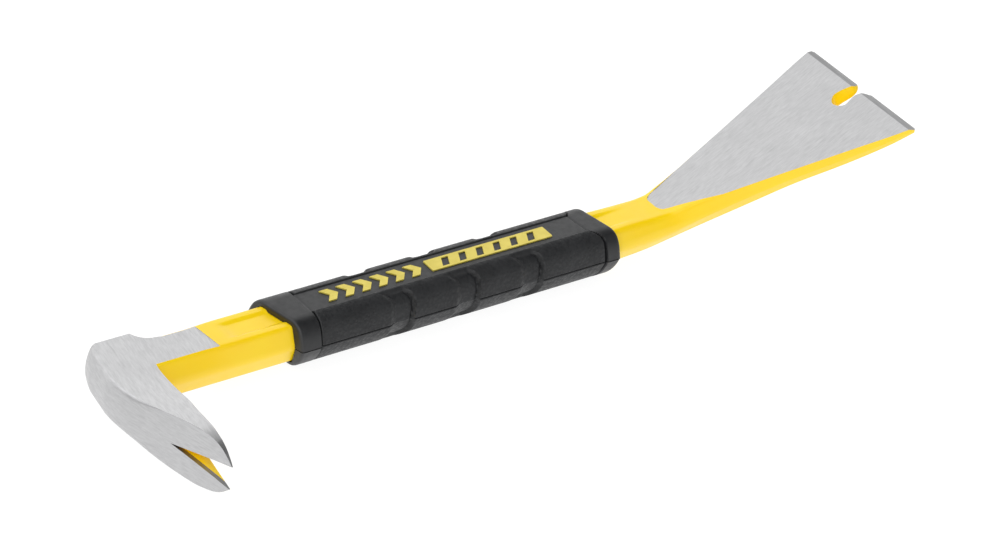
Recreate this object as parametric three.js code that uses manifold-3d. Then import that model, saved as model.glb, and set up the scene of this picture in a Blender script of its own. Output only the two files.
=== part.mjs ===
// Forged pry bar with a nail-pulling claw, a flared prying blade and a moulded two-shell grip.
// Millimetres. +X runs from the claw end to the blade end, +Z is up, and the claw hooks to -Y.
// The origin is the middle of the grip's flat underside.

import * as THREE from "three";
import { mergeVertices } from "three/addons/utils/BufferGeometryUtils.js";
import Module from "manifold-3d";

const wasm = await Module();
wasm.setup();

// ---------- driving dimensions ----------

const OVERALL_LENGTH = 250;
const BLADE_TIP_X = 144.3; // the blade's edge, from the middle of the grip
const CLAW_BACK_X = BLADE_TIP_X - OVERALL_LENGTH;

const GRIP_END_X = 52.2; // either end of the grip on the bar's centre line
const GRIP_END_LEAN = 0.24; // both ends lean the same way: +X per millimetre towards the claw's side
const GRIP_HALF_HEIGHT = 7.6;
const AXIS_Z = GRIP_HALF_HEIGHT; // the bar's mid-plane lies half a grip above the rest face

// Six-sided sections: half the flat top's width, half the height, half the width at the side ridge.
const HEAD_SHANK = { flat: 4.6, height: 6, ridge: 7.3 };
const SHANK = { flat: 5.6, height: 6, ridge: 7.5 };
const SHELL_BORE = { flat: 5.75, height: 6.2, ridge: 7.75 };
const SHELL_CORE = { flat: 5.9, height: GRIP_HALF_HEIGHT, ridge: 8.6 };
const COLLAR = { flat: 6.2, height: GRIP_HALF_HEIGHT, ridge: 10.2 };
const PAD_INNER = { flat: 6.15, height: GRIP_HALF_HEIGHT, ridge: 8.85 };
const PAD_OUTER = { flat: 6.8, height: 7.35, ridge: 9.9 };

const CLAW_COLLAR_X = -44; // where the collar at the claw end stops and the pads start
const BLADE_COLLAR_X = 46.5;
const PAD_GAP = 0.3; // between a pad and the collars, and across the grip's seam
const FINGER = {
  count: 3,
  pitch: 20.9,
  firstStepX: -16.8, // the step that closes the first hollow
  length: 8, // of one hollow
  fallRun: 2.5,
  stepRun: 1.1,
  depth: 1.1,
};

const HEAD = {
  strikeY: 9.4, // the hammer face on the back of the head
  strikeEndX: -90.4,
  outerCornerX: -103.2,
  bulgeY: -6.5, // where the head's outer side stands out furthest
  shankJoinX: -83.5,
  innerX: -91, // where the claw's inner face meets the shank's middle
  heelX: -91.9, // and where it leaves the shank's side ridge
  swellX: -73, // from here the shank swells from the head's section to its own
  swellRun: 3,
};
const CLAW = {
  rootHalfHeight: 6.1,
  swellY: -8, // from here the claw deepens towards its belly
  bellyHalfHeight: 8.5,
  bellyY: -34.5,
  tipY: -46.6,
  tipX: -94.7,
  tipHalfHeight: 3.4, // from the mid-plane to each tine's point
  tipWidth: 0.5,
  slotRootY: -28,
};

// The head and claw seen from above: control points of the curves between their corners.
const HEAD_CURVES = {
  fillet: [-88.9, 5.2], // from the shank's flat up to the hammer face
  heel: [[CLAW_BACK_X + 0.6, 4.5], [CLAW_BACK_X, -0.5]],
  outerClaw: [[CLAW_BACK_X, -17], [CLAW_BACK_X + 5.5, -27]],
  innerClaw: [-94.2, -30],
};
// How far the tangents reach where the leaf-shaped claw swells, crests and closes.
const LEAF = { swellReach: 9, crestReach: 9.5, taperReach: 6, tipReachY: 1.4, tipReachHeight: 2.6 };

const BLADE = {
  rootX: 57, // where the shank begins to flatten
  noseX: 74.8, // where the flat upper face begins
  noseRise: 0.5, // height of the upper face at its nose over the shank's flat
  slope: Math.tan(THREE.MathUtils.degToRad(16.3)),
  halfWidth: 23.1,
  edgeThickness: 0.9,
  cornerCut: 0.8,
  topBevel: 1.5,
  slotWidth: 4.5,
  slotDepth: 10,
};
// The flare's sections along the bar: thickness, then half widths at the top, side ridge and underside.
const FLARE = [
  { x: 68, thickness: 10.6, top: 5.5, ridge: 7.5, under: 4.8 },
  { x: 75, thickness: 9.3, top: 5.8, ridge: 7.7, under: 4.9 },
  { x: 84, thickness: 8.4, top: 7.4, ridge: 8.7, under: 6 },
  { x: 92, thickness: 7.3, top: 9.3, ridge: 10.2, under: 8.3 },
  { x: 100, thickness: 6.4, top: 11.4, ridge: 12, under: 10.5 },
  { x: 110, thickness: 5.5, top: 14, ridge: 14.3, under: 13 },
  { x: 126, thickness: 4.9, top: 18.2, ridge: 18.4, under: 17 },
  { x: 138, thickness: 3.1, top: 21.4, ridge: 21.5, under: 20.6 },
];

const FLUTE = { halfWidth: 3.4, depth: 0.5, startX: -69, endX: 60 };

const MARK = { rise: 0.35, halfHeight: 2.4, pitch: 5.3, count: 6, firstX: -37.5, width: 2.6, lean: 1.9 };
const BADGE = { startX: -4.3, endX: 35.2, halfHeight: 2.4, corner: 0.2 };
const WINDOW = { count: 6, width: 2.2, border: 0.7 };

// ---------- solids ----------

/** A closed three.js geometry as a manifold solid. */
function solid(geometry) {
  const plain = geometry.clone();
  plain.deleteAttribute("normal");
  plain.deleteAttribute("uv");
  const merged = mergeVertices(plain, 1e-4);
  return new wasm.Manifold(
    new wasm.Mesh({
      numProp: 3,
      vertProperties: new Float32Array(merged.attributes.position.array),
      triVerts: new Uint32Array(merged.index.array),
    }),
  );
}

/** A manifold solid back as flat-shaded three.js geometry. */
function geometryOf(manifold) {
  const mesh = manifold.getMesh();
  const geometry = new THREE.BufferGeometry();
  geometry.setAttribute("position", new THREE.BufferAttribute(new Float32Array(mesh.vertProperties), 3));
  geometry.setIndex(new THREE.BufferAttribute(new Uint32Array(mesh.triVerts), 1));
  geometry.computeVertexNormals();
  return geometry;
}

function outline(points) {
  return new THREE.Shape(points.map(([x, y]) => new THREE.Vector2(x, y)));
}

function extrusion(shape, depth, curveSegments = 12) {
  return new THREE.ExtrudeGeometry(shape, { depth, bevelEnabled: false, curveSegments });
}

const alongX = new THREE.Matrix4().makeBasis(
  new THREE.Vector3(0, 1, 0),
  new THREE.Vector3(0, 0, 1),
  new THREE.Vector3(1, 0, 0),
);
const alongY = new THREE.Matrix4().makeBasis(
  new THREE.Vector3(1, 0, 0),
  new THREE.Vector3(0, 0, 1),
  new THREE.Vector3(0, -1, 0),
);

/** A shape drawn in Y and Z, run from x0 to x1. */
function runX(shape, x0, x1) {
  return solid(extrusion(shape, x1 - x0).applyMatrix4(alongX).translate(x0, 0, 0));
}

/** A shape drawn in X and Z, run from y0 to y1. */
function runY(shape, y0, y1) {
  return solid(extrusion(shape, y1 - y0).applyMatrix4(alongY).translate(0, y1, 0));
}

/** A shape drawn in X and Y, run from z0 to z1. */
function runZ(shape, z0, z1) {
  return solid(extrusion(shape, z1 - z0).translate(0, 0, z0));
}

// ---------- forged bar ----------

/** Head and claw seen from above: a hammer face at the back and a wedge that thins to the tips. */
function headPlan() {
  const tipOuterX = CLAW.tipX - CLAW.tipWidth;
  const plan = new THREE.Shape();
  plan.moveTo(HEAD.innerX, 0);
  plan.lineTo(HEAD.shankJoinX, 0);
  plan.lineTo(HEAD.shankJoinX, HEAD_SHANK.flat);
  plan.quadraticCurveTo(...HEAD_CURVES.fillet, HEAD.strikeEndX, HEAD.strikeY);
  plan.lineTo(HEAD.outerCornerX, HEAD.strikeY);
  plan.bezierCurveTo(...HEAD_CURVES.heel.flat(), CLAW_BACK_X, HEAD.bulgeY);
  plan.bezierCurveTo(...HEAD_CURVES.outerClaw.flat(), tipOuterX, CLAW.tipY);
  plan.lineTo(CLAW.tipX, CLAW.tipY);
  plan.quadraticCurveTo(...HEAD_CURVES.innerClaw, HEAD.heelX, -HEAD_SHANK.ridge);
  return plan;
}

/** The claw seen along the bar: a leaf that swells past the shank and closes to two points. */
function clawLeaf() {
  const { rootHalfHeight: root, bellyHalfHeight: belly, tipHalfHeight: tip, swellY, bellyY, tipY } = CLAW;
  const at = (y, height) => new THREE.Vector2(y, height);
  const flat = new THREE.LineCurve(at(HEAD.strikeY + 1, root), at(swellY, root));
  const swell = new THREE.CubicBezierCurve(
    at(swellY, root),
    at(swellY - LEAF.swellReach, root),
    at(bellyY + LEAF.crestReach, belly),
    at(bellyY, belly),
  );
  const taper = new THREE.CubicBezierCurve(
    at(bellyY, belly),
    at(bellyY - LEAF.taperReach, belly),
    at(tipY + LEAF.tipReachY, tip + LEAF.tipReachHeight),
    at(tipY, tip),
  );
  const upperEdge = new THREE.CurvePath();
  for (const curve of [flat, swell, taper]) upperEdge.add(curve);
  const edge = upperEdge.getPoints(12);
  const top = edge.map((point) => [point.x, AXIS_Z + point.y]);
  const bottom = edge.map((point) => [point.x, AXIS_Z - point.y]).reverse();
  return outline([...top, ...bottom]);
}

/** The nail slot between the two tines, a long V open at the tips. */
function clawSlot() {
  const beyond = 4;
  const spread = (CLAW.tipHalfHeight * (CLAW.slotRootY - CLAW.tipY + beyond)) / (CLAW.slotRootY - CLAW.tipY);
  return outline([
    [CLAW.slotRootY, AXIS_Z],
    [CLAW.tipY - beyond, AXIS_Z + spread],
    [CLAW.tipY - beyond, AXIS_Z - spread],
  ]);
}

function claw() {
  const leaf = runX(clawLeaf(), CLAW_BACK_X - 1, HEAD.shankJoinX + 1);
  const wedge = runZ(headPlan(), AXIS_Z - CLAW.bellyHalfHeight - 1, AXIS_Z + CLAW.bellyHalfHeight + 1);
  const slot = runX(clawSlot(), CLAW_BACK_X - 1, HEAD.shankJoinX);
  return wedge.intersect(leaf).subtract(slot);
}

/** Height of the blade's flat upper face above the mid-plane. */
function bladeTop(x) {
  return SHANK.height + BLADE.noseRise + (x - BLADE.noseX) * BLADE.slope;
}

/** A six-sided ring of points across the bar at one station. */
function barRing({ x, top, ridge, under, upper, lower }) {
  const middle = (upper + lower) / 2;
  return [
    [ridge, middle],
    [top, upper],
    [-top, upper],
    [-ridge, middle],
    [-under, lower],
    [under, lower],
  ].map(([y, z]) => new THREE.Vector3(x, y, AXIS_Z + z));
}

/** A closed solid through rings that all have the same number of points. */
function loft(rings) {
  const sides = rings[0].length;
  const points = rings.flat();
  const triangles = [];
  for (let ring = 0; ring + 1 < rings.length; ring += 1) {
    for (let side = 0; side < sides; side += 1) {
      const near = ring * sides + side;
      const nearNext = ring * sides + ((side + 1) % sides);
      triangles.push(near, nearNext, near + sides, nearNext, nearNext + sides, near + sides);
    }
  }
  const last = (rings.length - 1) * sides;
  for (let side = 1; side + 1 < sides; side += 1) {
    triangles.push(0, side + 1, side);
    triangles.push(last, last + side, last + side + 1);
  }
  const geometry = new THREE.BufferGeometry().setFromPoints(points);
  geometry.setIndex(triangles);
  return solid(geometry);
}

/** Shank and blade in one: even along the shank, then rising, flaring and thinning to the edge. */
function shankAndBlade() {
  const even = ({ flat, height, ridge }) => {
    return { top: flat, ridge, under: flat, upper: height, lower: -height };
  };
  const flare = FLARE.map(({ x, thickness, ...widths }) => {
    const upper = x < BLADE.noseX ? SHANK.height : bladeTop(x);
    return { x, upper, lower: upper - thickness, ...widths };
  });
  const edgeUpper = bladeTop(BLADE_TIP_X);
  const edge = {
    x: BLADE_TIP_X,
    top: BLADE.halfWidth,
    ridge: BLADE.halfWidth,
    under: BLADE.halfWidth,
    upper: edgeUpper,
    lower: edgeUpper - BLADE.edgeThickness,
  };
  const stations = [
    { x: HEAD.innerX - 2, ...even(HEAD_SHANK) },
    { x: HEAD.swellX, ...even(HEAD_SHANK) },
    { x: HEAD.swellX + HEAD.swellRun, ...even(SHANK) },
    { x: BLADE.rootX, ...even(SHANK) },
    ...flare,
    edge,
  ];
  return loft(stations.map(barRing));
}

/** The narrow ground bevel along the upper side of the blade's edge. */
function edgeBevel() {
  const beyond = 1;
  const top = AXIS_Z + bladeTop(BLADE_TIP_X);
  const bevel = outline([
    [BLADE_TIP_X - BLADE.topBevel, AXIS_Z + bladeTop(BLADE_TIP_X - BLADE.topBevel)],
    [BLADE_TIP_X + beyond, top - BLADE.edgeThickness / 2],
    [BLADE_TIP_X + beyond, top + beyond],
    [BLADE_TIP_X - BLADE.topBevel, top + beyond],
  ]);
  return runY(bevel, -BLADE.halfWidth - beyond, BLADE.halfWidth + beyond);
}

/** The small triangle cut from each corner of the blade's edge. */
function cornerCut(side) {
  const beyond = 1;
  const cut = outline([
    [BLADE_TIP_X - BLADE.cornerCut, side * (BLADE.halfWidth + beyond)],
    [BLADE_TIP_X - BLADE.cornerCut, side * BLADE.halfWidth],
    [BLADE_TIP_X, side * (BLADE.halfWidth - BLADE.cornerCut)],
    [BLADE_TIP_X + beyond, side * (BLADE.halfWidth - BLADE.cornerCut)],
    [BLADE_TIP_X + beyond, side * (BLADE.halfWidth + beyond)],
  ]);
  return runZ(cut, AXIS_Z, AXIS_Z + 2 * bladeTop(BLADE_TIP_X));
}

/** The nail slot in the blade's edge, straight with a round root. */
function bladeSlot() {
  const radius = BLADE.slotWidth / 2;
  const rootX = BLADE_TIP_X - BLADE.slotDepth + radius;
  const slot = new THREE.Shape();
  slot.moveTo(BLADE_TIP_X + 2, radius);
  slot.lineTo(rootX, radius);
  slot.absarc(rootX, 0, radius, Math.PI / 2, (3 * Math.PI) / 2, false);
  slot.lineTo(BLADE_TIP_X + 2, -radius);
  return slot;
}

/** The shallow hollow rolled along the shank's top and bottom flats. */
function flutes() {
  return [1, -1].map((up) => {
    const flat = AXIS_Z + up * SHANK.height;
    const hollow = outline([
      [-FLUTE.halfWidth, flat + up],
      [-FLUTE.halfWidth + FLUTE.depth, flat - up * FLUTE.depth],
      [FLUTE.halfWidth - FLUTE.depth, flat - up * FLUTE.depth],
      [FLUTE.halfWidth, flat + up],
    ]);
    return runX(hollow, FLUTE.startX, FLUTE.endX);
  });
}

function forgedBar() {
  let bar = shankAndBlade().add(claw());
  const cuts = [edgeBevel(), cornerCut(1), cornerCut(-1), runZ(bladeSlot(), 0, 2 * BLADE_TIP_X), ...flutes()];
  for (const cut of cuts) bar = bar.subtract(cut);
  return bar;
}

// ---------- grip ----------

/** One half of a six-sided ring, above (up = 1) or below (up = -1) the seam. */
function halfRing(outer, inner, up) {
  return outline([
    [outer.ridge, AXIS_Z],
    [outer.flat, AXIS_Z + up * outer.height],
    [-outer.flat, AXIS_Z + up * outer.height],
    [-outer.ridge, AXIS_Z],
    [-inner.ridge, AXIS_Z],
    [-inner.flat, AXIS_Z + up * inner.height],
    [inner.flat, AXIS_Z + up * inner.height],
    [inner.ridge, AXIS_Z],
  ]);
}

/** The grip seen from above: its two ends lean the same way. */
function gripPlan() {
  const reach = COLLAR.ridge + 1;
  const lean = reach * GRIP_END_LEAN;
  return outline([
    [-GRIP_END_X + lean, -reach],
    [GRIP_END_X + lean, -reach],
    [GRIP_END_X - lean, reach],
    [-GRIP_END_X - lean, reach],
  ]);
}

/** A half shell of the grip: a thin core with a thicker collar at each end. */
function gripShell(up) {
  const beyond = GRIP_END_X + COLLAR.ridge;
  const core = runX(halfRing(SHELL_CORE, SHELL_BORE, up), -beyond, beyond);
  const clawCollar = runX(halfRing(COLLAR, SHELL_BORE, up), -beyond, CLAW_COLLAR_X);
  const bladeCollar = runX(halfRing(COLLAR, SHELL_BORE, up), BLADE_COLLAR_X, beyond);
  const trimmed = runZ(gripPlan(), -1, 2 * GRIP_HALF_HEIGHT + 1);
  return core.add(clawCollar).add(bladeCollar).intersect(trimmed);
}

/** The strip that a pad fills on one slanted side of the shell. */
function padSection(side, up) {
  return outline([
    [side * PAD_OUTER.ridge, AXIS_Z + up * PAD_GAP],
    [side * PAD_OUTER.flat, AXIS_Z + up * PAD_OUTER.height],
    [side * PAD_INNER.flat, AXIS_Z + up * PAD_OUTER.height],
    [side * PAD_INNER.ridge, AXIS_Z + up * PAD_GAP],
  ]);
}

/** Cutters for the finger hollows: each falls away at the claw end and steps back up at the blade end. */
function fingerHollows(side) {
  const face = side * PAD_OUTER.ridge;
  const floor = side * (PAD_OUTER.ridge - FINGER.depth);
  const beyond = side * (PAD_OUTER.ridge + 2);
  const hollows = [];
  for (let finger = 0; finger < FINGER.count; finger += 1) {
    const stepX = FINGER.firstStepX + finger * FINGER.pitch;
    const startX = stepX - FINGER.length;
    const hollow = outline([
      [startX, beyond],
      [startX, face],
      [startX + FINGER.fallRun, floor],
      [stepX - FINGER.stepRun, floor],
      [stepX, face],
      [stepX, beyond],
    ]);
    hollows.push(hollow);
  }
  return hollows;
}

function pad(side, up) {
  let body = runX(padSection(side, up), CLAW_COLLAR_X + PAD_GAP, BLADE_COLLAR_X - PAD_GAP);
  for (const hollow of fingerHollows(side)) {
    body = body.subtract(runZ(hollow, -1, 2 * GRIP_HALF_HEIGHT + 1));
  }
  return body;
}

// ---------- raised marks on the grip's top ----------

function chevron(startX) {
  const tip = startX + MARK.lean;
  return outline([
    [startX, MARK.halfHeight],
    [startX + MARK.width, MARK.halfHeight],
    [tip + MARK.width, 0],
    [startX + MARK.width, -MARK.halfHeight],
    [startX, -MARK.halfHeight],
    [tip, 0],
  ]);
}

/** A bar-shaped plate with slanted windows. */
function badge(bottomZ) {
  const { startX, endX, halfHeight, corner } = BADGE;
  const plate = outline([
    [startX + corner, -halfHeight],
    [endX - corner, -halfHeight],
    [endX, -halfHeight + corner],
    [endX, halfHeight - corner],
    [endX - corner, halfHeight],
    [startX + corner, halfHeight],
    [startX, halfHeight - corner],
    [startX, -halfHeight + corner],
  ]);
  let body = runZ(plate, bottomZ, bottomZ + MARK.rise);
  const reach = halfHeight - WINDOW.border;
  const spacing = (endX - startX) / (WINDOW.count + 1);
  for (let place = 1; place <= WINDOW.count; place += 1) {
    const left = startX + place * spacing - WINDOW.width / 2;
    const right = left + WINDOW.width;
    const window = outline([
      [left - reach / 2, -reach],
      [left + reach / 2, reach],
      [right + reach / 2, reach],
      [right - reach / 2, -reach],
    ]);
    body = body.subtract(runZ(window, bottomZ - 1, bottomZ + 1));
  }
  return body;
}

// ---------- assembly ----------

const pryBar = new THREE.Group();

function addPiece(name, manifold, look) {
  const mesh = new THREE.Mesh(geometryOf(manifold), new THREE.MeshStandardMaterial(look));
  mesh.name = name;
  pryBar.add(mesh);
}

const paintedSteel = { color: 0xfcd51f, roughness: 0.35, metalness: 0 };
const hardGrip = { color: 0x3a3b3d, roughness: 0.55, metalness: 0 };
const softGrip = { color: 0x303133, roughness: 0.75, metalness: 0 };
const goldTrim = { color: 0xe0cf6a, roughness: 0.4, metalness: 0.2 };

addPiece("forged_bar", forgedBar(), paintedSteel);
addPiece("grip_upper_shell", gripShell(1), hardGrip);
addPiece("grip_lower_shell", gripShell(-1), hardGrip);
for (const [sideName, side] of [["claw_side", -1], ["strike_side", 1]]) {
  addPiece(`upper_pad_${sideName}`, pad(side, 1), softGrip);
  addPiece(`lower_pad_${sideName}`, pad(side, -1), softGrip);
}

const gripTop = AXIS_Z + GRIP_HALF_HEIGHT;
for (let mark = 0; mark < MARK.count; mark += 1) {
  const startX = MARK.firstX + mark * MARK.pitch;
  addPiece(`chevron_${mark + 1}`, runZ(chevron(startX), gripTop, gripTop + MARK.rise), goldTrim);
}
addPiece("slotted_badge", badge(gripTop), goldTrim);

export default pryBar;
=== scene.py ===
"""Looks of the pry bar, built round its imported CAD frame: the forged bar, the grip and the raised trim.

Lengths below are in millimetres, in the frame's own axes: +X runs to the blade, the claw hooks to -Y and
+Z is up.
"""

import math

import bmesh
import bpy
import numpy as np
from mathutils import Matrix, Vector


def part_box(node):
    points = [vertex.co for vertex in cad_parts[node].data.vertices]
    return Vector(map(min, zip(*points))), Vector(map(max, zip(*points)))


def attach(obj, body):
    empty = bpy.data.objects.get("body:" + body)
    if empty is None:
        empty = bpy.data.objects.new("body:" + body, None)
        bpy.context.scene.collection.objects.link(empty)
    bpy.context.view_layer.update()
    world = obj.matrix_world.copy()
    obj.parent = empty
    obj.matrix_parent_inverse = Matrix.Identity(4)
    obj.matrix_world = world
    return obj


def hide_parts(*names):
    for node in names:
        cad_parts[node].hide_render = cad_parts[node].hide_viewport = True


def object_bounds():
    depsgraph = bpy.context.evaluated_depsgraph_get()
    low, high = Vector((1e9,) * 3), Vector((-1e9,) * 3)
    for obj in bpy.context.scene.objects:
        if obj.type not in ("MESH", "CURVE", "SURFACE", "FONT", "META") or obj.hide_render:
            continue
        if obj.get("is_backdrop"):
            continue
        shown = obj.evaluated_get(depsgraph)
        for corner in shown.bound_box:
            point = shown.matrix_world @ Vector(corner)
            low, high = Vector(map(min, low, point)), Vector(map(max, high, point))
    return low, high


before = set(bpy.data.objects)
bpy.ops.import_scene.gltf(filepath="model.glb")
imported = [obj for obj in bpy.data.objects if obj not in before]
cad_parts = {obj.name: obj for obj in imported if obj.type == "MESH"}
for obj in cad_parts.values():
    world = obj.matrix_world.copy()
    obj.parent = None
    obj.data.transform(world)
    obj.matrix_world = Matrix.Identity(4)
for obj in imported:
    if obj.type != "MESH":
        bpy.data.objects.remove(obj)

CAD_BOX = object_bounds()
MM = 0.001


def box_mm(node):
    low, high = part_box(node)
    return low / MM, high / MM


# ---------- sizes from the frame ----------

BAR_LOW, BAR_HIGH = box_mm("forged_bar")
SHELL_LOW, SHELL_HIGH = box_mm("grip_upper_shell")
PAD_LOW = box_mm("upper_pad_claw_side")[0]

TIP_X = BAR_HIGH.x  # the blade's edge
CLAW_BACK_X = BAR_LOW.x  # the claw's outermost bulge
CLAW_TIP_Y = BAR_LOW.y
BLADE_HALF_WIDTH = BAR_HIGH.y
AXIS_Z = SHELL_LOW.z  # the grip's seam, and the bar's mid-plane
GRIP_HEIGHT = SHELL_HIGH.z - AXIS_Z
COLLAR_RIDGE = SHELL_HIGH.y
PAD_RIDGE = -PAD_LOW.y

GRIP_END_X = 52.2  # either end of the grip, on the bar's centre line

# ---------- sizes of the bar ----------

HEAD_FLAT = 5.1  # half the width of the bar's top next to the head
SHANK_FLAT = 5.6
SHANK_RIDGE = 7.5
SHANK_UNDER = 5.2
SHANK_HEIGHT = 6.0
SHANK_ROUNDING = 1.5
STRIKE_Y = 9.4
STRIKE_ROUNDING = 0.8
STRIKE_END_X = -90.4
STRIKE_CORNER_X = -103.0
HEAD_JOIN_X = -83.5
CLAW_INNER_X = -91.0
CLAW_TIP_X = -94.7
PAINT_END_X = -73.0  # the head is ground bare up to here
PAINT_END_LEAN = 0.13
GROUND_HEIGHT = 5.9  # of the head's flats, over the mid-plane
SLOT_ROOT_Y = -28.0
SLOT_TIP_HALF = 3.4
SLOT_BARE_DEPTH = 1.3  # bare steel inside the claw's slot, from the outer face

NOSE_X = 72.3
BLADE_SLOPE = math.tan(math.radians(16.3))
BLADE_TOP_AT_TIP = 26.82  # over the mid-plane
EDGE_THICKNESS = 1.9
EDGE_BEVEL = 2.6
EDGE_SLOPE = 0.15  # how steeply the edge's bevel falls
EDGE_CORNER_CUT = 0.9
PROUD = 0.22  # painted metal left standing over a face until it is ground away


def blade_top(x):
    """Height of the blade's ground face over the mid-plane."""
    return BLADE_TOP_AT_TIP + (x - TIP_X) * BLADE_SLOPE


# ---------- curves ----------


def smooth_between(places, values, at):
    """A smooth curve through the values that doesn't overshoot them (monotone cubic)."""
    places, values = np.array(places, float), np.array(values, float)
    widths = np.diff(places)
    steps = np.diff(values) / widths
    slopes = np.zeros(len(values))
    slopes[0], slopes[-1] = steps[0], steps[-1]
    for i in range(1, len(values) - 1):
        if steps[i - 1] * steps[i] > 0:
            slopes[i] = 2 * steps[i - 1] * steps[i] / (steps[i - 1] + steps[i])
    at = np.clip(at, places[0], places[-1])
    i = np.clip(np.searchsorted(places, at) - 1, 0, len(widths) - 1)
    t = (at - places[i]) / widths[i]
    ends = values[i] * (1 - t) ** 2 * (1 + 2 * t) + values[i + 1] * t * t * (3 - 2 * t)
    return ends + widths[i] * (slopes[i] * t * (1 - t) ** 2 - slopes[i + 1] * t * t * (1 - t))


def along(table, place):
    """The smooth curve through a table of places and values."""
    places = sorted(table)
    return smooth_between(places, [table[p] for p in places], place)


def smooth_step(low, high, value):
    t = np.clip((value - low) / (high - low), 0, 1)
    return t * t * (3 - 2 * t)


def bezier(p0, p1, p2, p3, t):
    t = np.asarray(t)[:, None]
    p0, p1, p2, p3 = (np.array(p, float) for p in (p0, p1, p2, p3))
    return p0 * (1 - t) ** 3 + 3 * p1 * t * (1 - t) ** 2 + 3 * p2 * t * t * (1 - t) + p3 * t**3


def rounded_ring(corners, radii, sides, arc=4):
    """Points round a polygon with rounded corners. sides gives how many steps each side takes, the first
    from corner 0 to corner 1, so rings of one kind always have the same number of points."""
    count = len(corners)
    corners = [Vector(c) for c in corners]
    entries, exits = [], []
    for i, corner in enumerate(corners):
        back = corners[i - 1] - corner
        ahead = corners[(i + 1) % count] - corner
        reach = radii[i] / math.tan(back.angle(ahead) / 2)
        reach = min(reach, back.length * 0.45, ahead.length * 0.45)
        entries.append(corner + back.normalized() * reach)
        exits.append(corner + ahead.normalized() * reach)
    ring = []
    for i, corner in enumerate(corners):
        for step in range(arc):
            t = step / arc
            ring.append(entries[i] * (1 - t) ** 2 + corner * (2 * t * (1 - t)) + exits[i] * t * t)
        after = entries[(i + 1) % count]
        for step in range(sides[i]):
            ring.append(exits[i].lerp(after, step / sides[i]))
    return np.array(ring)


# ---------- meshes ----------


def mesh_piece(name, points, faces, materials, slots=None):
    """An object from points in millimetres, with one material slot number for each face."""
    mesh = bpy.data.meshes.new(name)
    mesh.from_pydata((np.array(points, float) * MM).tolist(), [], faces)
    for material in materials:
        mesh.materials.append(material)
    if slots is not None:
        mesh.polygons.foreach_set("material_index", np.array(slots, np.int32))
    mesh.validate()
    piece = bpy.data.objects.new(name, mesh)
    bpy.context.scene.collection.objects.link(piece)
    return piece


def loft(rings, slot_of=None):
    """Points, faces and slots of a closed solid through rings with the same number of points."""
    sides = len(rings[0])
    points = np.concatenate(rings)
    faces, slots = [], []
    for ring in range(len(rings) - 1):
        for side in range(sides):
            a, b = ring * sides + side, ring * sides + (side + 1) % sides
            faces.append((a, b, b + sides, a + sides))
            slots.append(slot_of(ring, side) if slot_of else 0)
    last = (len(rings) - 1) * sides
    faces.append(tuple(range(sides - 1, -1, -1)))
    faces.append(tuple(last + side for side in range(sides)))
    slots += [slot_of(0, None), slot_of(len(rings) - 1, None)] if slot_of else [0, 0]
    return points, faces, slots


def prism(outline, spans, axis, materials, slot):
    """A closed cutter: an outline swept along an axis, from spans[0] to spans[1]."""
    count = len(outline)
    points = []
    for place in spans:
        for a, b in outline:
            points.append({"x": (place, a, b), "y": (a, place, b), "z": (a, b, place)}[axis])
    faces = [(i, (i + 1) % count, (i + 1) % count + count, i + count) for i in range(count)]
    faces += [tuple(range(count - 1, -1, -1)), tuple(range(count, 2 * count))]
    return outward(mesh_piece("cutter", points, faces, materials, [slot] * len(faces)))


def outward(piece):
    """Turns the faces of a closed mesh outwards."""
    work = bmesh.new()
    work.from_mesh(piece.data)
    bmesh.ops.recalc_face_normals(work, faces=work.faces)
    work.to_mesh(piece.data)
    work.free()
    return piece


def combine(piece, other, operation):
    """Joins or cuts piece with other, which is used up."""
    step = piece.modifiers.new("step", "BOOLEAN")
    step.operation = operation
    step.solver = "EXACT"
    step.object = other
    graph = bpy.context.evaluated_depsgraph_get()
    made = bpy.data.meshes.new_from_object(piece.evaluated_get(graph))
    piece.modifiers.clear()
    piece.data = made
    bpy.data.objects.remove(other)
    return piece


def finish_piece(piece, nodes, sharp=30):
    """Smooth faces with crisp edges, riding on the part in place of its CAD nodes."""
    piece.data.shade_smooth()
    piece.data.set_sharp_from_angle(angle=math.radians(sharp))
    even = piece.modifiers.new("even_shading", "WEIGHTED_NORMAL")
    even.keep_sharp = True
    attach(piece, "root")
    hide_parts(*nodes)
    return piece


# ---------- materials ----------


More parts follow.
